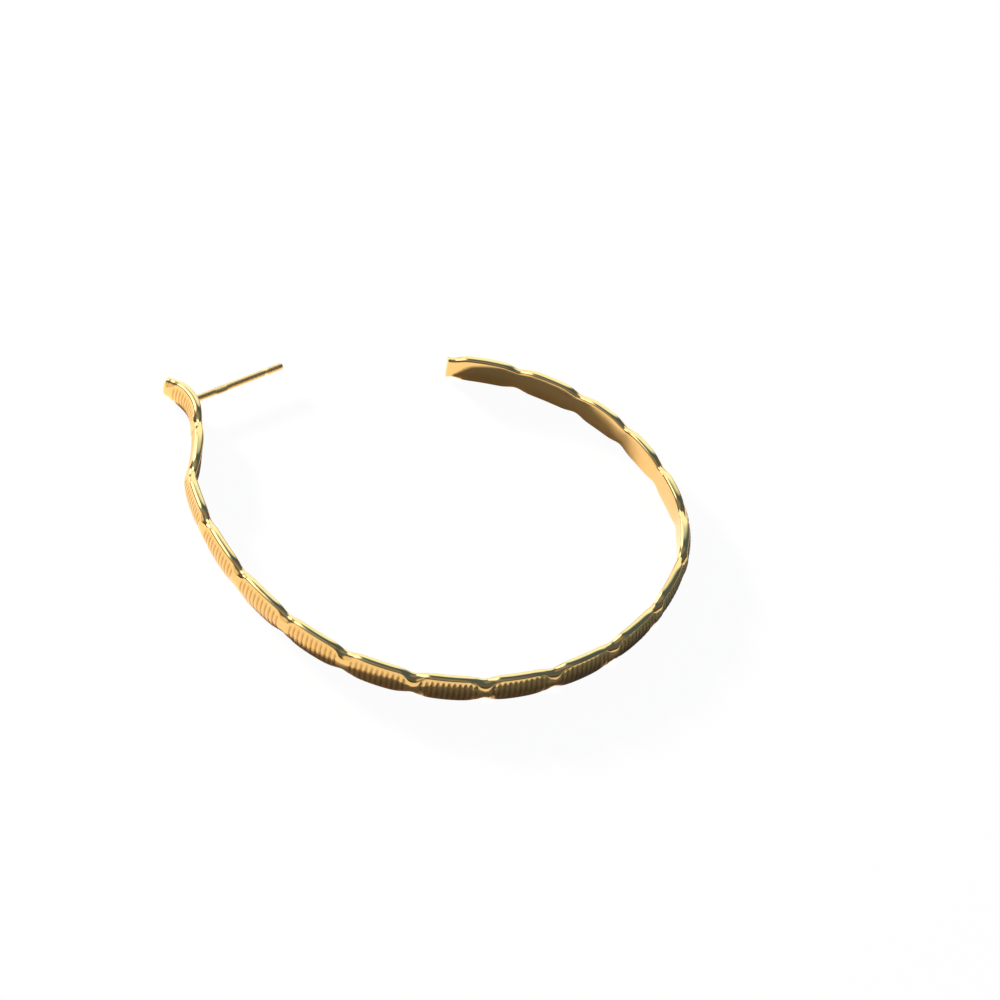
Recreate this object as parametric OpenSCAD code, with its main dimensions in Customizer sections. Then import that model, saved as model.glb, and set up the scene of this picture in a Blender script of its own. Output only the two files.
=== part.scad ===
// Open hoop earring lying on its side. A solid band of ribbed, pillow-like panels with a smooth
// waist between each two is bent to an open round, and flares outward at one end, where a
// straight ear post is soldered to its inner face.
// The post points along +X, the hoop's own axis is Z, the band rests on Z = 0, and +Y is up
// when it is worn. All sizes are millimetres and all angles degrees.

/* [Hoop] */
// Size of every panel's length against the real one
panel_stretch = 1; // [0.98:0.005:1.005]
// Heading of the band where its plan begins, measured from the post's direction
start_heading = -70.9; // [-74:0.1:-68]
// Band left past the first waist, beside the post
post_end_stub = 0.7; // [0.6:0.05:0.8]
// Band left past the last waist, at the free end
free_end_stub = 0.6; // [0.5:0.05:0.8]

/* [Band section] */
// Height of the band across the middle of a panel
panel_height = 3.6; // [3.5:0.05:3.9]
// Height of the band at a waist
waist_height = 3.1; // [2.9:0.05:3.2]
// Thickness of the band across the middle of a panel
panel_thickness = 1.6; // [1.5:0.05:1.8]
// Thickness of the band at a waist
waist_thickness = 1.45; // [1.35:0.05:1.55]
// Rounding of the two inner edges
inner_round = 0.25; // [0.15:0.05:0.35]

/* [Ribs] */
// Number of ribs across one panel
rib_count = 10; // [8:1:10]
// Smooth length at each side of a waist
smooth_half = 0.95; // [0.85:0.05:1.05]
// Depth of the grooves between the ribs
groove_depth = 0.1; // [0.06:0.01:0.14]

/* [Ear post] */
// Radius of the post's plain wire
post_radius = 0.4; // [0.35:0.01:0.45]
// Length of the post from the band's inner face to its tip
post_length = 11.75; // [11:0.05:13]
// Distance of the post from the first waist, along the band's middle line
post_at = 3.03; // [2.9:0.01:3.5]
// Radius of the solder bead where it meets the band
bead_radius = 0.75; // [0.6:0.05:0.9]
// Thickness of the flattened stretch
flat_thickness = 0.62; // [0.5:0.02:0.7]
// Radius at the bottom of the groove that holds the clip
notch_radius = 0.3; // [0.26:0.01:0.34]

/* [Hidden] */
// The hoop's plan as arcs one after another: radius, negative where the band bends outward,
// and sweep. The last arc runs on to the free end.
bends = [
    // [radius, sweep]
    [-5.5, 41],
    [-25, 21],
    [4.2, 26.5],
    [37.5, 35.7],
    [27.2, 111],
    [16, 36],
    [26.5, 75]
];

// Rounding of the two ends: distance from the end, and size of the section there
post_end_round = [
    // [distance, scale]
    [0, 0.5],
    [0.07, 0.74],
    [0.22, 0.92]
];
free_end_round = [
    // [distance, scale]
    [0, 0.84],
    [0.12, 1]
];

// The panels in order from the post's end, with the length of each
panels = [
    // [count, length]
    [3, 7.37],
    [9, 7.9],
    [4, 6.85],
    [2, 7.95]
];
// The first waist, by its distance past the place where the plan begins
first_waist = -1.5;

// How far from a waist the rim and the pressed face come up to the panel's full form
edge_rise = 0.9;
face_rise = 0.78;
// Share of the panel's height and thickness lost between its middle and its shoulders
crown = 0.04;
// Distance of the inner face from the plan line, at a panel and at a waist
panel_inner = 0.84;
waist_inner = 0.64;
// Radius of the pressed, ribbed face across the band, and the upward slope where it ends
face_radius = 4;
face_limit = 65;
// Radius of the round outer side of a waist
waist_radius = 1.2;
// Slopes of the section's outer points, 0 for the top and 90 for the upright face, and the
// share of the groove's depth there
outer_slopes = [
    // [slope, groove]
    [18, 0],
    [62, 0.1],
    [81, 1]
];
// Stations in a waist, by distance from its middle
waist_stations = [-0.6, -0.3, 0, 0.3, 0.6];

middle_z = panel_height / 2;

// Hollow outline of the solder bead, as shares of its width beyond the post and of its length
bead_length = 0.6;
bead_sink = 0.3;
bead_hollow = [
    // [width, length]
    [1, 0],
    [0.45, 0.2],
    [0.15, 0.55],
    [0, 1]
];

// Post features by distance from the band's inner face
flat_from = 2.55;
flat_to = 4.25;
flat_width = 1;
notch_from = post_length - 2.6;
notch_to = post_length - 2;
tip_round = 0.25;
tip_step = 22.5;
lathe_sides = 48;

// Swelling of the flattened stretch, as shares of its length and of the width it gains
flat_swell = [
    // [length, width]
    [0.12, 0.9],
    [0.5, 1],
    [0.88, 0.9]
];
// Hollow of the clip groove, as shares of its length and of its depth
notch_hollow = [
    // [length, depth]
    [0.2, 0.8],
    [0.5, 1],
    [0.8, 0.8]
];

// Plan of the band

function arc_run(bend) = abs(bend[0]) * bend[1] * PI / 180;

// A place is [x, y, heading], and follow moves it along one arc
function follow(place, radius, run) =
    let (turned = place[2] + run / radius * 180 / PI)
    [
        place[0] + radius * (sin(turned) - sin(place[2])),
        place[1] - radius * (cos(turned) - cos(place[2])),
        turned
    ];

function plan(run, i = 0, place = [0, 0, start_heading]) =
    run <= arc_run(bends[i]) || i == len(bends) - 1
        ? follow(place, bends[i][0], run)
        : plan(run - arc_run(bends[i]), i + 1, follow(place, bends[i][0], arc_run(bends[i])));

// Places of the waists along the plan

lengths = [for (p = panels) for (i = [1 : p[0]]) p[1] * panel_stretch];
function run_to(i) = i == 0 ? first_waist : run_to(i - 1) + lengths[i - 1];
waists = [for (i = [0 : len(lengths)]) run_to(i)];
last_waist = waists[len(lengths)];

// Upper outer point of the section where it slopes by s, [distance from the plan line, height],
// for the pressed panel and for the round waist

function panel_point(s) =
    let (
        side = panel_thickness - panel_inner,
        edge = [
            side - face_radius * (1 - sin(face_limit)),
            face_radius * cos(face_limit)
        ],
        corner = (panel_height / 2 - edge[1]) / (1 - cos(face_limit))
    )
    s > face_limit
        ? [side - face_radius * (1 - sin(s)), face_radius * cos(s)]
        : edge + corner * [sin(s) - sin(face_limit), cos(s) - cos(face_limit)];

function waist_point(s) = [
    waist_thickness - waist_inner - waist_radius * (1 - sin(s)),
    waist_height / 2 - waist_radius * (1 - cos(s))
];

// Upper half of the section, d past the nearest waist on a panel of that length;
// groove is 0 on a rib and 1 in a groove
function upper_half(d, length, groove) =
    let (
        edge = 1 - exp(-pow(d / edge_rise, 2)),
        face = 1 - exp(-pow(d / face_rise, 6)),
        full = 1 - crown * (1 - sin(180 * d / length)),
        inner = waist_inner + (panel_inner * full - waist_inner) * edge,
        top = (waist_height + (panel_height * full - waist_height) * edge) / 2
    )
    [
        [-inner, top - inner_round],
        [inner_round - inner, top],
        for (o = outer_slopes)
            let (w = waist_point(o[0]), p = panel_point(o[0]) * full)
            [
                w[0] + (p[0] - w[0]) * face - groove * o[1] * groove_depth,
                w[1] + (p[1] - w[1]) * edge
            ]
    ];

function section(d, length, groove) =
    let (half = upper_half(d, length, groove))
    [
        for (i = [0 : len(half) - 1]) half[i],
        for (i = [len(half) - 1 : -1 : 0]) [half[i][0], -half[i][1]]
    ];

// A station is [run along the plan, distance from the nearest waist, length of its panel,
// groove, scale of the section]

function rib_stations(i) =
    let (step = (lengths[i] - 2 * smooth_half) / rib_count / 2)
    [
        for (j = [0 : 2 * rib_count])
            let (into = smooth_half + j * step)
            [waists[i] + into, min(into, lengths[i] - into), lengths[i], 1 - j % 2, 1]
    ];

stations = [
    for (e = post_end_round)
        [first_waist - post_end_stub + e[0], post_end_stub - e[0], lengths[0], 0, e[1]],
    for (i = [0 : len(lengths) - 1]) each [
        for (w = waist_stations)
            if (i > 0 || w > -post_end_stub / 2) [waists[i] + w, abs(w), lengths[i], 0, 1],
        for (st = rib_stations(i)) st
    ],
    for (w = waist_stations)
        if (w <= 0) [last_waist + w, abs(w), lengths[len(lengths) - 1], 0, 1],
    for (i = [len(free_end_round) - 1 : -1 : 0])
        let (left = free_end_stub - free_end_round[i][0])
        [last_waist + left, left, lengths[len(lengths) - 1], 0, free_end_round[i][1]]
];

// Ring of points round the band at one station
function ring(station) =
    let (place = plan(station[0]), size = station[4])
    [
        for (p = section(station[1], station[2], station[3]))
            [
                place[0] + p[0] * size * sin(place[2]),
                place[1] - p[0] * size * cos(place[2]),
                middle_z + p[1] * size
            ]
    ];

rings = [for (st = stations) ring(st)];
sides = len(rings[0]);
band_points = [for (r = rings) each r];

// Middle of the hoop's outline, which is put on the Z axis
low_x = min([for (p = band_points) p[0]]);
high_x = max([for (p = band_points) p[0]]);
low_y = min([for (p = band_points) p[1]]);
high_y = max([for (p = band_points) p[1]]);
centre = [(low_x + high_x) / 2, (low_y + high_y) / 2, 0];

// The post leaves the band at a slight lean, from the middle line through the inner face
post_root = plan(first_waist + post_at);
post_lean = post_root[2] + 90;
face_x = post_root[0] - upper_half(post_at, lengths[0], 0)[0][0] / cos(post_lean);

module band() {
    last = len(rings) - 1;
    polyhedron(
        points = band_points,
        faces = [
            [for (j = [0 : sides - 1]) j],
            [for (j = [sides - 1 : -1 : 0]) last * sides + j],
            for (i = [0 : last - 1])
                for (j = [0 : sides - 1])
                    let (a = i * sides + j, b = i * sides + (j + 1) % sides)
                    each [[a, a + sides, b + sides], [a, b + sides, b]]
        ],
        convexity = 10
    );
}

// Outline of the post as [radius, distance from the inner face]
function post_outline() = [
    [0, -bead_sink],
    [bead_radius, -bead_sink],
    for (b = bead_hollow)
        [post_radius + b[0] * (bead_radius - post_radius), b[1] * bead_length],
    [post_radius, flat_from],
    for (s = flat_swell)
        [
            post_radius + s[1] * (flat_width / 2 - post_radius),
            flat_from + s[0] * (flat_to - flat_from)
        ],
    [post_radius, flat_to],
    [post_radius, notch_from],
    for (h = notch_hollow)
        [
            post_radius - h[1] * (post_radius - notch_radius),
            notch_from + h[0] * (notch_to - notch_from)
        ],
    [post_radius, notch_to],
    for (a = [0 : tip_step : 90])
        [
            post_radius - tip_round + tip_round * cos(a),
            post_length - tip_round + tip_round * sin(a)
        ],
    [0, post_length]
];

// Block that presses the post flat on one side, above its axis
module flat_cut() {
    translate([flat_from, -flat_width, flat_thickness / 2])
        cube([flat_to - flat_from, 2 * flat_width, flat_width]);
}

module ear_post() {
    translate([face_x, post_root[1], middle_z])
        difference() {
            rotate([0, 90, 0])
                rotate_extrude($fn = lathe_sides)
                    polygon(post_outline());
            flat_cut();
            mirror([0, 0, 1]) flat_cut();
        }
}

module hoop_with_post() {
    color([0.86, 0.62, 0.29])
        translate(-centre)
            union() {
                band();
                ear_post();
            }
}

hoop_with_post();
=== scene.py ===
# %% [markdown]
# Gold hoop earring, lying on a white table.
# The real thing is a solid band of gold-plated brass. Its outer side is pressed into pillow-like
# panels with fine upright ribs and a smooth waist between each two, and it is bent round to an
# open hoop. A straight wire, the ear post, is soldered to the inner face of its flared end.
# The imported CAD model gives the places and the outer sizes. This script draws the same forms
# again with more points and a little slimmer in section, and gives them the finish that the CAD
# faces can't have.

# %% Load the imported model
import math

import bpy
from mathutils import Matrix, Vector


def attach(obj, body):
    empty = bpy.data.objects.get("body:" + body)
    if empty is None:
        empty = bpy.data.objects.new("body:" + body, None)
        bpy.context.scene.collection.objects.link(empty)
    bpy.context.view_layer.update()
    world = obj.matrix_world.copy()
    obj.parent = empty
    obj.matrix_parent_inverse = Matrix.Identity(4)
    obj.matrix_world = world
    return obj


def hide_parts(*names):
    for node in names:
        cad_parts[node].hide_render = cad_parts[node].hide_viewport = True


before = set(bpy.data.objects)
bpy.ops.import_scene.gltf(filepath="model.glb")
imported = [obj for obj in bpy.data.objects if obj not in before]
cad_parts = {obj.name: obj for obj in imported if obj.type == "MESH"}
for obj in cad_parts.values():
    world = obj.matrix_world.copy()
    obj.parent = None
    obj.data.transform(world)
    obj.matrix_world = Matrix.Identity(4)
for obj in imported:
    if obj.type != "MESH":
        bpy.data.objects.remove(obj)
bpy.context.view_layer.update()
MM = 0.001


print("CAD nodes:", sorted(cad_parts))

# %% [markdown]
# Three small helpers serve everything below.
# A hex colour is an sRGB value as a colour picker shows it, and a shader works in linear light,
# so one function turns the first into the second, by the curve of the sRGB standard. The next
# puts a new object into the scene. The last adds one node: it takes the node's settings, and a
# dictionary of inputs that are either plain values or outputs to link.
# An input goes by its name or, where several share one name, by its number. Mix has a set for
# each kind of value: 2 and 3 are numbers, 4 and 5 vectors, 6 and 7 colours.

# %% Helpers for colours, objects and nodes
def linear(hex_colour):
    """An sRGB hex colour as linear RGBA."""
    shares = [int(hex_colour[i : i + 2], 16) / 255 for i in (1, 3, 5)]
    return [s / 12.92 if s < 0.04045 else ((s + 0.055) / 1.055) ** 2.4 for s in shares] + [1.0]


def add_object(name, data):
    """Puts a new object into the scene, which holds that mesh, light or camera."""
    new = bpy.data.objects.new(name, data)
    bpy.context.scene.collection.objects.link(new)
    return new


def add_node(tree, kind, inputs=None, **settings):
    """Adds a node of that kind, with its settings, and its inputs set or linked."""
    node = tree.nodes.new(kind)
    for name, value in settings.items():
        setattr(node, name, value)
    for name, value in (inputs or {}).items():
        socket = node.inputs[name]
        if isinstance(value, bpy.types.NodeSocket):
            tree.links.new(value, socket)
        else:
            socket.default_value = value
    return node


print("Gold in linear light:", [round(c, 3) for c in linear("#E8B860")])

# %% [markdown]
# The camera comes first, because everything is judged through it.
# It stands above the table and looks down at 50 degrees, through a long lens that keeps the
# hoop's near and far sides at nearly one scale. The picture is turned by about 12 degrees, as
# when a camera is held by hand.

# %% Camera
CAMERA_PLACE = (-165.803, -195.156, 308.96)  # mm
CAMERA_AIM = (7.757, -2.576, 0.0)  # mm
CAMERA_ROLL = 11.917  # degrees
LENS_MM = 126.0
SENSOR_MM = 36.0
SEEN_FROM, SEEN_TO = 0.01, 10.0  # metres

place, aim = Vector(CAMERA_PLACE) * MM, Vector(CAMERA_AIM) * MM
look = (aim - place).normalized()
level_right = look.cross(Vector((0, 0, 1))).normalized()
level_up = level_right.cross(look)
roll = math.radians(CAMERA_ROLL)
right = math.cos(roll) * level_right + math.sin(roll) * level_up
up = -math.sin(roll) * level_right + math.cos(roll) * level_up

camera_data = bpy.data.cameras.new("table_camera")
camera_data.lens, camera_data.sensor_width = LENS_MM, SENSOR_MM
camera_data.clip_start, camera_data.clip_end = SEEN_FROM, SEEN_TO
camera = add_object("table_camera", camera_data)
camera.matrix_world = Matrix(
    [(right[i], up[i], -look[i], place[i]) for i in range(3)] + [(0, 0, 0, 1)]
)
bpy.context.scene.camera = camera
print("Camera looks down at", round(math.degrees(math.asin(-look.z)), 1), "degrees")

# %% [markdown]
# The band follows a plan of seven arcs, one after another, the same as in the CAD source.
# A Bezier curve could follow the hoop too, but its points would only come near the arcs, and the
# panels would drift off their places. So a small function walks along the arcs and says where
# the band's middle line is, and which way it heads, at any distance along it.

# %% Plan of the band
START_HEADING = -70.9
PLAN_CENTRE = (18.2157, -26.4718)  # mm, the middle of the hoop, which the CAD puts on the Z axis
BENDS = [  # radius in mm, negative where the band bends outward, and sweep in degrees
    (-5.5, 41),
    (-25, 21),
    (4.2, 26.5),
    (37.5, 35.7),
    (27.2, 111),
    (16, 36),
    (26.5, 75),
]


def follow(x, y, heading, radius, run):
    """Moves a place along one arc."""
    turned = heading + math.degrees(run / radius)
    a, b = math.radians(heading), math.radians(turned)
    across = radius * (math.sin(b) - math.sin(a))
    along = radius * (math.cos(b) - math.cos(a))
    return x + across, y - along, turned


def plan(run):
    """Place and heading of the band's middle line, run mm past the start of the arcs."""
    place = (0.0, 0.0, START_HEADING)
    for i, (radius, sweep) in enumerate(BENDS):
        length = abs(radius) * math.radians(sweep)
        if run <= length or i == len(BENDS) - 1:
            place = follow(*place, radius, run)
            break
        place = follow(*place, radius, length)
        run -= length
    return place[0] - PLAN_CENTRE[0], place[1] - PLAN_CENTRE[1], place[2]


print("The arcs begin at", [round(v, 2) for v in plan(0)])

# %% [markdown]
# The panels aren't all of one length on the real hoop, so a short table gives them.
# The chain of stations along the band follows from it: close together where ribs rise and fall,
# six to a rib, which is enough for a round crest and a sharp valley, and as close in the smooth
# waists, where the pressed faces end in a crisp edge. At both ends the last rings close in like a
# quarter circle. One end is left as a small round knob and the other is only eased.

# %% Stations along the band
PANEL_RUNS = [(3, 7.37), (9, 7.9), (4, 6.85), (2, 7.95)]  # count, length in mm
FIRST_WAIST = -1.5  # mm from the start of the arcs
RIB_COUNT = 10
POINTS_A_RIB = 6
SMOOTH_HALF = 0.95  # mm at each side of a waist
WAIST_STEPS = 11
POST_END = (0.7, 0.62, 0.06)  # mm past the waist, mm rounded, size of the last section
FREE_END = (0.6, 0.16, 0.86)
END_STEPS = 9

lengths = [length for panels, length in PANEL_RUNS for _ in range(panels)]
waists = [FIRST_WAIST + sum(lengths[:i]) for i in range(len(lengths) + 1)]


def end_rings(stub, rounded, smallest):
    """Distance from the waist and size of the section, from a rounded end inwards."""
    turns = [math.pi / 2 * i / END_STEPS for i in range(END_STEPS + 1)]
    return [
        (stub - rounded * (1 - math.cos(turn)), smallest + (1 - smallest) * math.sin(turn))
        for turn in turns
    ]


# A station is its run, the distance past its panel's first waist, that panel's length, and size
stations = [(FIRST_WAIST - past, past, lengths[0], size) for past, size in end_rings(*POST_END)]
for waist, length in zip(waists, lengths):
    rib_pitch = (length - 2 * SMOOTH_HALF) / RIB_COUNT
    intos = [SMOOTH_HALF * i / WAIST_STEPS for i in range(WAIST_STEPS)]
    intos += [
        SMOOTH_HALF + rib_pitch * i / POINTS_A_RIB for i in range(RIB_COUNT * POINTS_A_RIB + 1)
    ]
    intos += [length - into for into in reversed(intos[1:WAIST_STEPS])]
    stations += [(waist + into, into, length, 1.0) for into in intos]
free_stub, free_rounded, _ = FREE_END
free_rings = [((free_stub - free_rounded) * i / WAIST_STEPS, 1.0) for i in range(WAIST_STEPS)]
free_rings += reversed(end_rings(*FREE_END))
stations += [(waists[-1] + past, past, lengths[-1], size) for past, size in free_rings]
print("Waists:", len(waists), "stations:", len(stations))

# %% [markdown]
# The stations become a chain of points that carries all that the later steps need to know: which
# way is outward at each point, how far it is into its panel, how long the panel is, and how much
# of the full section is left where an end is rounded off.
# Such knowledge could be baked into the points' places at once, but as named attributes it stays
# open to the node tree, which can then be tried with other sizes.

# %% Line of the band
def store_numbers(mesh, name, numbers):
    """Keeps one number for each point of a mesh, as a named attribute."""
    mesh.attributes.new(name, "FLOAT", "POINT").data.foreach_set("value", numbers)


def store_vectors(mesh, name, vectors):
    """Keeps one vector for each point of a mesh, as a named attribute."""
    flat = [c for vector in vectors for c in vector]
    mesh.attributes.new(name, "FLOAT_VECTOR", "POINT").data.foreach_set("vector", flat)


points, outs = [], []
for station in stations:
    x, y, heading = plan(station[0])
    points.append((x * MM, y * MM, 0.0))
    outs.append((math.sin(math.radians(heading)), -math.cos(math.radians(heading)), 0.0))
line_mesh = bpy.data.meshes.new("band_line")
line_mesh.from_pydata(points, [(i, i + 1) for i in range(len(points) - 1)], [])
store_vectors(line_mesh, "middle", points)
store_vectors(line_mesh, "out", outs)
store_numbers(line_mesh, "into", [station[1] * MM for station in stations])
store_numbers(line_mesh, "panel_length", [station[2] * MM for station in stations])
store_numbers(line_mesh, "size", [station[3] for station in stations])
band = add_object("ribbed_band", line_mesh)
print("Length of the band's middle line:", round(stations[-1][0] - stations[0][0], 1), "mm")

# %% [markdown]
# The section across the band is drawn twice: as it is at the middle of a panel, where the outer
# side is pressed into a broad shallow arc with tight shoulders, and as it is at a waist, where a
# round top runs down into a steep flank, like a rounded roof.
# Each outline is a chain of arcs like the plan, from the inner face over the top to the outer
# face. The same slopes are used for both, so every point of the one has its partner on the other
# and a node tree can slide it from waist to panel without a twist in the surface.
# Both are slimmer than the CAD's sections, 1.35 mm against 1.6 at a panel and 1.31 against 1.45 at
# a waist, and most of that is missing at the inner face. A waist is also 0.15 mm lower here.

# %% Section of a panel and of a waist
SECTION_ARCS = [  # slope where the arc ends, points in it, radius in mm at a panel and at a waist
    (-12, 4, 0.25, 0.25),
    (15, 4, 1.4, 0.72),
    (50, 4, 0.22, 0.72),
    (65, 3, 0.12, 1.6),
    (75, 5, 3.9, 3.0),
    (90, 8, 3.9, 0.1),
]
PANEL_TOP, PANEL_OUTER = 1.8, 0.76  # mm above the middle height, and out from the middle line
WAIST_TOP, WAIST_OUTER = 1.4, 0.81
INNER_SHARES = (0.0, 0.5)  # points of the flat inner face, as shares of its half height


def outline(column, top, outer):
    """Upper half of a section as (distance from the middle line, height), in slope order."""
    x, z, slope = 0.0, 0.0, -90.0
    chain = [(x, z)]
    for arc in SECTION_ARCS:
        radius, step = arc[column], (arc[0] - slope) / arc[1]
        for _ in range(arc[1]):
            a, b = math.radians(slope), math.radians(slope + step)
            x += radius * (math.sin(b) - math.sin(a))
            z += radius * (math.cos(b) - math.cos(a))
            slope += step
            chain.append((x, z))
    highest = max(point[1] for point in chain)
    chain = [(px - x + outer, pz - highest + top) for px, pz in chain]
    inner_face = [(chain[0][0], chain[0][1] * share) for share in INNER_SHARES]
    return inner_face + chain + [(outer, 0.0)]


slopes = [-90.0]
for end_slope, steps, _, _ in SECTION_ARCS:
    start_slope = slopes[-1]
    slopes += [start_slope + (end_slope - start_slope) * (i + 1) / steps for i in range(steps)]
slopes = [-90.0] * len(INNER_SHARES) + slopes + [90.0]
panel_outline = outline(2, PANEL_TOP, PANEL_OUTER)
waist_outline = outline(3, WAIST_TOP, WAIST_OUTER)
for title, chain in (("panel", panel_outline), ("waist", waist_outline)):
    print("Thickness at a", title, "in mm:", round(chain[-1][0] - chain[0][0], 2))

# %% [markdown]
# Both outlines go into one closed loop of points, as attributes.
# The loop's own shape doesn't matter, because the tree moves every point. Three more numbers ride
# on each point: whether it belongs to the outer side, how much of a rib's groove it takes, which
# fades out under the shoulder and leaves the row of pointed rib ends there, and how far the
# pressed face draws back from the waist at its height, which rounds the face's corners.

# %% Section loop
OUTER_FADE = (-12, 18)  # slopes where the inner side gives way to the outer side
RIB_FADE = (66, 74)  # slopes where the grooves come up to their full depth
CORNER_FADE = (84, 60)  # slopes from the upright of the pressed face up to its corners
CORNER_SIZE = 0.2  # mm


def share_between(slope, start, end):
    """How far a slope has come from start to end, held between 0 and 1."""
    return min(max((slope - start) / (end - start), 0), 1)


outer_share = [share_between(slope, *OUTER_FADE) for slope in slopes]
rib_share = [share_between(slope, *RIB_FADE) for slope in slopes]
corners = [CORNER_SIZE * MM * share_between(slope, *CORNER_FADE) ** 2 for slope in slopes]
order = list(range(len(slopes))) + list(range(len(slopes) - 2, 0, -1))
sides = [1] * len(slopes) + [-1] * (len(slopes) - 2)
around = [2 * math.pi * i / len(order) for i in range(len(order))]
loop_mesh = bpy.data.meshes.new("section_loop")
loop_mesh.from_pydata(
    [(math.cos(turn), math.sin(turn), 0) for turn in around],
    [(i, (i + 1) % len(order)) for i in range(len(order))],
    [],
)
for name, chain in {"panel_form": panel_outline, "waist_form": waist_outline}.items():
    forms = [(chain[i][0] * MM, 0.0, side * chain[i][1] * MM) for i, side in zip(order, sides)]
    store_vectors(loop_mesh, name, forms)
for name, numbers in {
    "outer_share": outer_share,
    "rib_share": rib_share,
    "corner": corners,
}.items():
    store_numbers(loop_mesh, name, [numbers[i] for i in order])
section_loop = add_object("section_loop", loop_mesh)
faces_in_band = len(order) * (len(stations) - 1)
print("Points round the section:", len(order), "so faces in the band:", faces_in_band)

# %% [markdown]
# Panels, waists and ribs all follow one rule, so the band is made by a Geometry Nodes tree.
# It could as well be a loop over points in Python, but in a tree each size of the rule is an
# input with a name, and can be turned like a knob. The tree starts with these inputs, and with
# the attributes that come in from the line and from the section loop.

# %% Tree for the band: what goes in
SIZES = {  # lengths in metres
    "Edge rise": 1.1 * MM,
    "Face rise": 0.78 * MM,
    "Face crispness": 4.0,
    "Crown share": 0.04,
    "Middle height": PANEL_TOP * MM,
    "Smooth half": SMOOTH_HALF * MM,
    "Ribs a panel": float(RIB_COUNT),
    "Groove depth": 0.1 * MM,
}
CARRIED = {
    "FLOAT_VECTOR": ("middle", "out", "panel_form", "waist_form"),
    "FLOAT": ("into", "panel_length", "size", "outer_share", "rib_share", "corner"),
}
tree = bpy.data.node_groups.new("pillow_band", "GeometryNodeTree")
sockets = {"Geometry": "NodeSocketGeometry", "Section loop": "NodeSocketObject"}
sockets.update({name: "NodeSocketFloat" for name in SIZES})
sockets["Material"] = "NodeSocketMaterial"
for name, kind in sockets.items():
    tree.interface.new_socket(name, in_out="INPUT", socket_type=kind)
tree.interface.new_socket("Geometry", in_out="OUTPUT", socket_type="NodeSocketGeometry")
given = add_node(tree, "NodeGroupInput").outputs
named = {}
for data_type, names in CARRIED.items():
    for name in names:
        reader = add_node(
            tree, "GeometryNodeInputNamedAttribute", {"Name": name}, data_type=data_type
        )
        named[name] = reader.outputs[0]
print("Inputs:", list(sockets))

# %% [markdown]
# Waists and panels follow from one number: the distance to the nearest waist.
# One exponential of it lifts the rim in a soft wave from waist to panel. A second, steeper one
# brings the outer side out to the pressed face with a crisp edge. A sine adds the crown of the
# pillow.

# %% Tree for the band: waists and panels
RIM_SOFTNESS = 2.0  # power of the rim's wave, which makes it a bell curve

# Distance to the nearest waist
left = add_node(
    tree, "ShaderNodeMath", {0: named["panel_length"], 1: named["into"]}, operation="SUBTRACT"
).outputs[0]
distance = add_node(
    tree, "ShaderNodeMath", {0: named["into"], 1: left}, operation="MINIMUM"
).outputs[0]

# Share of the panel's form that the rim and the pressed face have reached there
face_past = add_node(
    tree, "ShaderNodeMath", {0: distance, 1: named["corner"]}, operation="SUBTRACT"
).outputs[0]
face_distance = add_node(
    tree, "ShaderNodeMath", {0: face_past, 1: 0.0}, operation="MAXIMUM"
).outputs[0]
rises = []
for past_waist, reach, power in (
    (distance, given["Edge rise"], RIM_SOFTNESS),
    (face_distance, given["Face rise"], given["Face crispness"]),
):
    ratio = add_node(
        tree, "ShaderNodeMath", {0: past_waist, 1: reach}, operation="DIVIDE"
    ).outputs[0]
    raised = add_node(
        tree, "ShaderNodeMath", {0: ratio, 1: power}, operation="POWER"
    ).outputs[0]
    fallen = add_node(
        tree, "ShaderNodeMath", {0: raised, 1: -1.0}, operation="MULTIPLY"
    ).outputs[0]
    short = add_node(tree, "ShaderNodeMath", {0: fallen}, operation="EXPONENT").outputs[0]
    rise = add_node(tree, "ShaderNodeMath", {0: 1.0, 1: short}, operation="SUBTRACT").outputs[0]
    rises.append(rise)
edge, face = rises

# Crown of the pillow, full at the panel's middle
along = add_node(
    tree, "ShaderNodeMath", {0: distance, 1: named["panel_length"]}, operation="DIVIDE"
).outputs[0]
turn = add_node(tree, "ShaderNodeMath", {0: along, 1: math.pi}, operation="MULTIPLY").outputs[0]
swell = add_node(tree, "ShaderNodeMath", {0: turn}, operation="SINE").outputs[0]
missing = add_node(tree, "ShaderNodeMath", {0: 1.0, 1: swell}, operation="SUBTRACT").outputs[0]
lost = add_node(
    tree, "ShaderNodeMath", {0: missing, 1: given["Crown share"]}, operation="MULTIPLY"
).outputs[0]
full = add_node(tree, "ShaderNodeMath", {0: 1.0, 1: lost}, operation="SUBTRACT").outputs[0]
crowned = add_node(
    tree, "ShaderNodeVectorMath", {0: named["panel_form"], 3: full}, operation="SCALE"
).outputs[0]

# The section's point between its two partners
sideways = add_node(
    tree, "ShaderNodeMix", {0: named["outer_share"], 2: edge, 3: face}
).outputs[0]
shares = add_node(tree, "ShaderNodeCombineXYZ", {0: sideways, 2: edge}).outputs[0]
form = add_node(
    tree,
    "ShaderNodeMix",
    {1: shares, 4: named["waist_form"], 5: crowned},
    data_type="VECTOR",
    factor_mode="NON_UNIFORM",
).outputs[1]
smooth_out, _, height = add_node(tree, "ShaderNodeSeparateXYZ", {0: form}).outputs
print("Nodes so far:", len(tree.nodes))

# %% [markdown]
# The ribs are cut into that form. One minus the size of a sine is a valley with a sharp bottom
# between two round crests, as a pressing die leaves them, and the ribs divide the pressed length
# of each panel evenly, whatever its length. The depth of the cut is also stored on the mesh, so
# that the finish can make the valleys dull and paint shade into them.

# %% Tree for the band: ribs
RUN_OUT = -0.3  # where the cut begins beside the first rib, as a share of a rib

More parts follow.
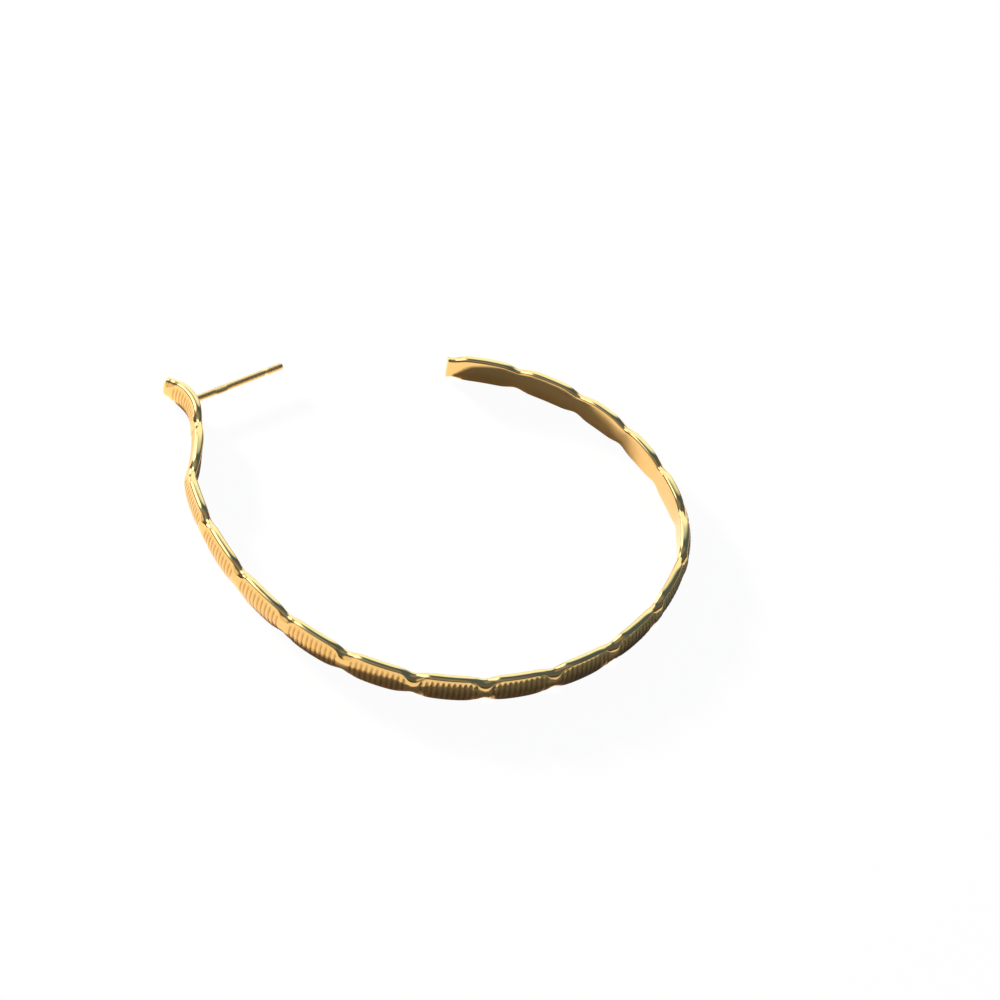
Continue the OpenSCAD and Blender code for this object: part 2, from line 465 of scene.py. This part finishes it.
# Count of ribs from the panel's edge to this point
twice_smooth = add_node(
    tree, "ShaderNodeMath", {0: given["Smooth half"], 1: 2.0}, operation="MULTIPLY"
).outputs[0]
pressed = add_node(
    tree, "ShaderNodeMath", {0: named["panel_length"], 1: twice_smooth}, operation="SUBTRACT"
).outputs[0]
pitch = add_node(
    tree, "ShaderNodeMath", {0: pressed, 1: given["Ribs a panel"]}, operation="DIVIDE"
).outputs[0]
past = add_node(
    tree, "ShaderNodeMath", {0: distance, 1: given["Smooth half"]}, operation="SUBTRACT"
).outputs[0]
phase = add_node(tree, "ShaderNodeMath", {0: past, 1: pitch}, operation="DIVIDE").outputs[0]

# Valleys of full depth between the ribs, and none in the waists
phase_turn = add_node(
    tree, "ShaderNodeMath", {0: phase, 1: math.pi}, operation="MULTIPLY"
).outputs[0]
wave = add_node(tree, "ShaderNodeMath", {0: phase_turn}, operation="SINE").outputs[0]
crest = add_node(tree, "ShaderNodeMath", {0: wave}, operation="ABSOLUTE").outputs[0]
valley = add_node(tree, "ShaderNodeMath", {0: 1.0, 1: crest}, operation="SUBTRACT").outputs[0]
on_panel = add_node(
    tree,
    "ShaderNodeMapRange",
    {0: phase, 1: RUN_OUT, 2: 0.0, 3: 0.0, 4: 1.0},
    interpolation_type="SMOOTHSTEP",
).outputs[0]
panel_valley = add_node(
    tree, "ShaderNodeMath", {0: valley, 1: on_panel}, operation="MULTIPLY"
).outputs[0]

# Their share at this height, and what they take off the form
groove = add_node(
    tree, "ShaderNodeMath", {0: panel_valley, 1: named["rib_share"]}, operation="MULTIPLY"
).outputs[0]
cut = add_node(
    tree, "ShaderNodeMath", {0: groove, 1: given["Groove depth"]}, operation="MULTIPLY"
).outputs[0]
outward = add_node(
    tree, "ShaderNodeMath", {0: smooth_out, 1: cut}, operation="SUBTRACT"
).outputs[0]
print("Nodes so far:", len(tree.nodes))

# %% [markdown]
# Last, the tube. Curve to Mesh carries the loop along the line and hands both sets of attributes
# to every point of the skin, and Set Position puts each point where its numbers say.
# Curve to Mesh alone could not do it, because it only repeats one section, and this one changes
# at every point.

# %% Tree for the band: skin
sized_out = add_node(
    tree, "ShaderNodeMath", {0: outward, 1: named["size"]}, operation="MULTIPLY"
).outputs[0]
sized_up = add_node(
    tree,
    "ShaderNodeMath",
    {0: height, 1: named["size"], 2: given["Middle height"]},
    operation="MULTIPLY_ADD",
).outputs[0]
aside = add_node(
    tree, "ShaderNodeVectorMath", {0: named["out"], 3: sized_out}, operation="SCALE"
).outputs[0]
upward = add_node(tree, "ShaderNodeCombineXYZ", {2: sized_up}).outputs[0]
offset = add_node(tree, "ShaderNodeVectorMath", {0: aside, 1: upward}).outputs[0]
target = add_node(tree, "ShaderNodeVectorMath", {0: named["middle"], 1: offset}).outputs[0]

line = add_node(tree, "GeometryNodeMeshToCurve", {0: given["Geometry"]}).outputs[0]
loop = add_node(tree, "GeometryNodeObjectInfo", {0: given["Section loop"]}).outputs["Geometry"]
ring = add_node(tree, "GeometryNodeMeshToCurve", {0: loop}).outputs[0]
skin = add_node(
    tree, "GeometryNodeCurveToMesh", {"Curve": line, "Profile Curve": ring, "Fill Caps": True}
).outputs[0]
skin = add_node(
    tree,
    "GeometryNodeStoreNamedAttribute",
    {"Geometry": skin, "Name": "groove", "Value": groove},
    data_type="FLOAT",
    domain="POINT",
).outputs[0]
for kind, inputs in (
    ("GeometryNodeSetPosition", {"Position": target}),
    ("GeometryNodeSetShadeSmooth", {}),
    ("GeometryNodeRealizeInstances", {}),
    ("GeometryNodeSetMaterial", {"Material": given["Material"]}),
):
    skin = add_node(tree, kind, {"Geometry": skin, **inputs}).outputs[0]
add_node(tree, "NodeGroupOutput", {0: skin})
print("Nodes in the band's tree:", len(tree.nodes))

# %% [markdown]
# The finish is gold plate over brass, polished on a wheel.
# A mirror polish hides nothing: what the eye sees is the room, tinted by the metal, so base
# colour and roughness carry the whole look. Cloudy noise a few millimetres wide keeps the tint
# from being flat, and a faint waviness of the surface breaks the reflections as hand finishing
# does. The valleys between the ribs miss the wheel, so they are duller, and they are painted
# darker and redder as well, which is painted shade in the grooves.
# The haze that polishing leaves is finer than the render can show, so it is drawn coarser.

# %% Gold plate
GOLD_LIGHT = "#FCD08A"
GOLD_DEEP = "#F2C274"
# A darker, redder gold for the bottoms of the rib valleys: painted shade
GOLD_VALLEY_PAINTED_SHADE = "#C08A45"
VALLEY_DULLNESS = 0.25  # roughness added at the bottom of a valley
CLOUD_MM = 4.0
HAZE_MM = 0.8
HAZE_SPREAD = 0.05  # roughness between the clearest and the haziest spot


def gold_plate(name, roughness, waviness_mm, wave_size_mm):
    """A gold plate with cloudy tint, a soft waviness, and dull valleys with painted shade between
    the ribs.
    """
    material = bpy.data.materials.new(name)
    material.use_nodes = True
    nodes = material.node_tree
    spot = add_node(nodes, "ShaderNodeTexCoord").outputs["Object"]
    # Three noises, each by the size of its spots and how many finer layers it has
    clouds, haze, waves = (
        add_node(
            nodes,
            "ShaderNodeTexNoise",
            {"Vector": spot, "Scale": 1 / (size_mm * MM), "Detail": detail},
        ).outputs[0]
        for size_mm, detail in ((CLOUD_MM, 3.0), (HAZE_MM, 4.0), (wave_size_mm, 1.0))
    )
    valley = add_node(nodes, "ShaderNodeAttribute", attribute_name="groove").outputs["Fac"]
    colour = linear(GOLD_DEEP)
    # The colour grows darker and redder towards the valley bottoms: painted shade in the grooves
    for share, blended in ((clouds, GOLD_LIGHT), (valley, GOLD_VALLEY_PAINTED_SHADE)):
        colour = add_node(
            nodes, "ShaderNodeMix", {0: share, 6: colour, 7: linear(blended)}, data_type="RGBA"
        ).outputs[2]
    rough = roughness
    for share, added in ((valley, VALLEY_DULLNESS), (haze, HAZE_SPREAD)):
        rough = add_node(
            nodes, "ShaderNodeMath", {0: share, 1: added, 2: rough}, operation="MULTIPLY_ADD"
        ).outputs[0]
    bump = add_node(
        nodes, "ShaderNodeBump", {"Height": waves, "Distance": waviness_mm * MM, "Strength": 1.0}
    ).outputs[0]
    shader = nodes.nodes["Principled BSDF"]
    shader.inputs["Metallic"].default_value = 1.0
    nodes.links.new(colour, shader.inputs["Base Color"])
    nodes.links.new(rough, shader.inputs["Roughness"])
    nodes.links.new(bump, shader.inputs["Normal"])
    return material


# Polished on a wheel: a near mirror, in which the eye reads the room more than the metal
polished_plate = gold_plate(
    "polished_gold_plate", roughness=0.04, waviness_mm=0.012, wave_size_mm=1.6
)
# Drawn through a die and plated as it is: the lines of the die spread the light to a soft sheen
drawn_wire = gold_plate(
    "drawn_gold_plated_wire", roughness=0.36, waviness_mm=0.006, wave_size_mm=0.9
)
print("Finishes:", polished_plate.name, drawn_wire.name)

# %% [markdown]
# The tree is run once and its result is kept as a plain mesh.
# A modifier's input is set by the identifier of its socket, not by its name, because two sockets
# may share a name.
# The skin has to close in a volume with its faces outward, or else metal and export go wrong, so
# the volume is measured, and a mesh with a negative one is turned inside out.

# %% Make the band
modifier = band.modifiers.new("pillow_band", "NODES")
modifier.node_group = tree
settings = {**SIZES, "Section loop": section_loop, "Material": polished_plate}
for item in tree.interface.items_tree:
    if item.in_out == "INPUT" and item.name in settings:
        modifier[item.identifier] = settings[item.name]
shown = band.evaluated_get(bpy.context.evaluated_depsgraph_get())
band_mesh = bpy.data.meshes.new_from_object(shown)
band_mesh.name = "ribbed_band"
band.modifiers.remove(modifier)
band.data = band_mesh
bpy.data.objects.remove(section_loop)


def volume_mm3(mesh):
    """Volume that a mesh's faces close in, which is negative where they point inward."""
    mesh.calc_loop_triangles()
    total = 0.0
    for triangle in mesh.loop_triangles:
        a, b, c = (mesh.vertices[i].co for i in triangle.vertices)
        total += a.dot(b.cross(c)) / 6
    return total / MM**3


def face_outward(mesh):
    """Turns a closed mesh inside out if its faces point inward."""
    if volume_mm3(mesh) < 0:
        mesh.flip_normals()


face_outward(band_mesh)
print("Band:", len(band_mesh.polygons), "faces,", round(volume_mm3(band_mesh), 1), "cubic mm")

# %% [markdown]
# The ear post is a length of drawn wire, turned and pressed.
# A cylinder with modifiers could be bent to it, but no modifier presses a flat or turns a groove.
# So it is made of rings along its axis. Each ring is an ellipse whose two half widths come from
# a short table: the pressed flat, the groove for the clip and the rounded tip are all rows of
# that table, and so are the low round base at its root and the flare of solder that ran round it.

# %% Rows of the ear post
POST_AT = 3.03  # mm from the first waist
INNER_FACE = 0.839  # mm from the middle line to the CAD solid's inner face there
POST_SIDES = 48
POST_ROWS = [  # distance from the CAD solid's inner face, half width, half height, all in mm
    (-0.3, 0.75, 0.75),
    (0.0, 0.74, 0.74),
    (0.03, 0.66, 0.66),
    (0.08, 0.58, 0.58),
    (0.16, 0.51, 0.51),
    (0.28, 0.45, 0.45),
    (0.42, 0.415, 0.415),
    (0.6, 0.4, 0.4),
    (2.5, 0.4, 0.4),
    (2.6, 0.41, 0.385),
    (2.72, 0.45, 0.33),
    (2.9, 0.485, 0.31),
    (3.4, 0.5, 0.31),
    (3.9, 0.485, 0.31),
    (4.08, 0.45, 0.33),
    (4.2, 0.41, 0.385),
    (4.3, 0.4, 0.4),
    (9.12, 0.4, 0.4),
    (9.18, 0.39, 0.39),
    (9.26, 0.34, 0.34),
    (9.36, 0.306, 0.306),
    (9.45, 0.3, 0.3),
    (9.54, 0.306, 0.306),
    (9.64, 0.34, 0.34),
    (9.72, 0.39, 0.39),
    (9.78, 0.4, 0.4),
    (11.48, 0.4, 0.4),
    (11.58, 0.385, 0.385),
    (11.66, 0.34, 0.34),
    (11.72, 0.26, 0.26),
    (11.745, 0.15, 0.15),
]
print("Post from root to tip:", POST_ROWS[-1][0], "mm")

# %% [markdown]
# Each two rings are joined by a belt of four-sided faces, and a single face closes each end.
# The post starts a little inside the band, so that no gap shows round the solder.

# %% Ear post
root_x, root_y, root_heading = plan(FIRST_WAIST + POST_AT)
post_x = root_x + INNER_FACE / math.cos(math.radians(root_heading + 90))
vertices, faces = [], []
for distance_mm, half_width, half_tall in POST_ROWS:
    for i in range(POST_SIDES):
        turn = 2 * math.pi * i / POST_SIDES
        in_mm = (
            post_x + distance_mm,
            root_y + half_width * math.cos(turn),
            PANEL_TOP + half_tall * math.sin(turn),
        )
        vertices.append([c * MM for c in in_mm])
for row in range(len(POST_ROWS) - 1):
    for i in range(POST_SIDES):
        a, b = row * POST_SIDES + i, row * POST_SIDES + (i + 1) % POST_SIDES
        faces.append((a, b, b + POST_SIDES, a + POST_SIDES))
faces.append(tuple(range(POST_SIDES - 1, -1, -1)))
faces.append(tuple(len(vertices) - POST_SIDES + i for i in range(POST_SIDES)))
post_mesh = bpy.data.meshes.new("ear_post")
post_mesh.from_pydata(vertices, [], faces)
face_outward(post_mesh)
for polygon in post_mesh.polygons:
    polygon.use_smooth = True
post_mesh.materials.append(drawn_wire)
post = add_object("ear_post", post_mesh)
print("Post:", len(post_mesh.polygons), "faces,", round(volume_mm3(post_mesh), 2), "cubic mm")

# %% [markdown]
# The pieces now take the CAD solid's place: its node is hidden, and both ride on the one body,
# because both are parts of one soldered solid.

# %% Join the frame
for piece in (band, post):
    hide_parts("hoop_with_post")
    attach(piece, "root")

# %% [markdown]
# Polished metal shows its surroundings, so the studio is part of the finish.
# The table is a sheet of white paper. Seen straight, it is nearly blown out to white, as in a
# shop's picture, and a light strong enough for that would also blow out the gold. So the
# paper mixes in a plain white glow that only the camera sees, and what is left of it shows a
# trace of the shadow. The gold sees the paper as it is lit.

# %% Table
FLOOR_HALF = 1.6  # metres
PAPER_WHITE = "#F4F2EE"
PAPER_ROUGHNESS = 0.9
PAPER_GLOSS = 0.2
GLOW_SHARE = 0.96
floor_mesh = bpy.data.meshes.new("white_table")
corner_signs = ((-1, -1), (1, -1), (1, 1), (-1, 1))
floor_corners = [(x * FLOOR_HALF, y * FLOOR_HALF, 0) for x, y in corner_signs]
floor_mesh.from_pydata(floor_corners, [], [(0, 1, 2, 3)])
floor = add_object("white_table", floor_mesh)

# Uncoated paper is matt: it throws its light back softly and mirrors nothing
paper = bpy.data.materials.new("white_paper")
paper.use_nodes = True
nodes = paper.node_tree
shader = nodes.nodes["Principled BSDF"]
shader.inputs["Base Color"].default_value = linear(PAPER_WHITE)
shader.inputs["Roughness"].default_value = PAPER_ROUGHNESS
shader.inputs["Specular IOR Level"].default_value = PAPER_GLOSS
glow = add_node(
    nodes, "ShaderNodeEmission", {"Color": (1, 1, 1, 1), "Strength": 1.0}
).outputs[0]
seen = add_node(nodes, "ShaderNodeLightPath").outputs["Is Camera Ray"]
share = add_node(
    nodes, "ShaderNodeMath", {0: seen, 1: GLOW_SHARE}, operation="MULTIPLY"
).outputs[0]
blend = add_node(
    nodes, "ShaderNodeMixShader", {0: share, 1: shader.outputs[0], 2: glow}
).outputs[0]
nodes.links.new(blend, nodes.nodes["Material Output"].inputs["Surface"])
floor_mesh.materials.append(paper)
print("Table:", 2 * FLOOR_HALF, "m a side")

# %% [markdown]
# One soft light stands low behind the hoop on the left, like a window in the late afternoon.
# It throws the band's own short shadow over the paper, towards the camera and to the right. The
# gold shows that shadow: the faces at the left stay bright, those at the front turn dark below
# their pointed rib ends, and inside the far side the inner face darkens towards the free end.
# A light placed over the camera would be the easy choice, but then no face would ever be dark.
# The gold doesn't show the lamp itself, because the bright places of the room stand for it.

# %% Light
LIGHT_AZIMUTH, LIGHT_ELEVATION = -55, 18  # degrees
LIGHT_DISTANCE = 0.6  # metres
LIGHT_SIZE = (0.1, 0.06)  # metres
LIGHT_WATTS = 12.0
LIGHT_COLOUR = "#FFFAF2"
ahead = Vector((look.x, look.y, 0)).normalized()


def bearing(azimuth, elevation):
    """Unit vector by its azimuth from the far side, left negative, and its elevation."""
    a, e = math.radians(azimuth), math.radians(elevation)
    level = math.cos(a) * ahead + math.sin(a) * level_right
    return math.cos(e) * level + math.sin(e) * Vector((0, 0, 1))


towards = bearing(LIGHT_AZIMUTH, LIGHT_ELEVATION)
light_data = bpy.data.lights.new("low_window_light", "AREA")
light_data.shape = "RECTANGLE"
light_data.size, light_data.size_y = LIGHT_SIZE
light_data.energy = LIGHT_WATTS
light_data.color = linear(LIGHT_COLOUR)[:3]
light = add_object("low_window_light", light_data)
light.location = towards * LIGHT_DISTANCE
light.rotation_mode = "QUATERNION"
light.rotation_quaternion = (-towards).to_track_quat("-Z", "Y")
light.visible_glossy = False
print("Light stands at", [round(c, 2) for c in light.location], "m")

# %% [markdown]
# The room is what the rim shows, so it is drawn as a sky of soft tones.
# A picture of a real room would do this at once, but a part has to carry its looks without image
# files, so a ramp over the height gives a dim room: warm near the floor and blue above.

# %% Dim room
ROOM_TONES = [  # height of the direction, from 0 at the horizon to 1 overhead, and colour
    (0.0, "#302A26"),
    (0.1, "#4A4440"),
    (0.25, "#66666A"),
    (0.55, "#5C6E88"),
    (0.85, "#4E6C92"),
    (1.0, "#4A6890"),
]
world = bpy.data.worlds.new("dim_studio")
world.use_nodes = True
bpy.context.scene.world = world
room = world.node_tree
direction = add_node(room, "ShaderNodeTexCoord").outputs["Generated"]
upwards = add_node(room, "ShaderNodeSeparateXYZ", {0: direction}).outputs["Z"]
ramp = add_node(room, "ShaderNodeValToRGB", {0: upwards})
stops = ramp.color_ramp.elements
while len(stops) < len(ROOM_TONES):
    stops.new(0.5)  # anywhere, because its place is set next
for stop, (position, tone) in zip(stops, ROOM_TONES):
    stop.position = position
    stop.color = linear(tone)
shade = ramp.outputs["Color"]
print("Tones of the room:", len(stops))

# %% [markdown]
# The room's bright places are round patches with a soft edge, each set by its bearing.
# A wide one on the far side is the window, which makes the cream line along the rim. Two small
# ones at its left are its brightest panes, for the white glints, and above them a dim blue pane
# shows the sky. The rest are a pale wall and a faintly lit ceiling.

# %% Bright places of the room
PATCHES = [  # azimuth, elevation, inner and outer radius in degrees, brightness, colour
    (-130, 18, 16, 34, 0.95, "#FFF4E4"),
    (180, 86, 1, 30, 0.36, "#EAECF0"),
    (-62, 58, 12, 25, 0.7, "#B3D9FF"),
    (-5, 26, 17, 31, 2.0, "#C6E2F4"),
    (-47, 51, 3, 19, 3.3, "#EAF2FF"),
    (-50, 16, 6, 20, 3.6, "#E8F2FF"),
]
for azimuth, elevation, inner, outer, brightness, tone in PATCHES:
    nearness = add_node(
        room,
        "ShaderNodeVectorMath",
        {0: direction, 1: bearing(azimuth, elevation)},
        operation="DOT_PRODUCT",
    ).outputs["Value"]
    dark_from, bright_from = (math.cos(math.radians(radius)) for radius in (outer, inner))
    share = add_node(
        room,
        "ShaderNodeMapRange",
        {0: nearness, 1: dark_from, 2: bright_from, 3: 0.0, 4: 1.0},
        interpolation_type="SMOOTHSTEP",
    ).outputs[0]
    patch_light = [brightness * c for c in linear(tone)[:3]] + [1.0]
    shade = add_node(
        room, "ShaderNodeMix", {0: share, 6: shade, 7: patch_light}, data_type="RGBA"
    ).outputs[2]
print("Bright patches in the room:", len(PATCHES))

# %% [markdown]
# Only the gold sees this room at its full strength.
# Light that reaches the paper from the room is held down, so that the shadow stays a shadow, and
# where the camera looks past the table it sees a plain backdrop. The colours are shown as they
# are, without a film look, because the paper has to stay white.

# %% What the paper and the camera see of the room
SHADOW_FILL = (0.24, 0.31, 0.36, 1.0)  # shares of red, green and blue that reach the paper
BACKDROP = "#F7F7F5"
rays = add_node(room, "ShaderNodeLightPath").outputs
dimmed = add_node(
    room,
    "ShaderNodeMix",
    {0: rays["Is Diffuse Ray"], 6: shade, 7: SHADOW_FILL},
    data_type="RGBA",
    blend_type="MULTIPLY",
).outputs[2]
shown_room = add_node(
    room,
    "ShaderNodeMix",
    {0: rays["Is Camera Ray"], 6: dimmed, 7: linear(BACKDROP)},
    data_type="RGBA",
).outputs[2]
background = room.nodes["Background"]
room.links.new(shown_room, background.inputs["Color"])
background.inputs["Strength"].default_value = 1.0
bpy.context.scene.view_settings.view_transform = "Standard"
print("Nodes in the room:", len(room.nodes))
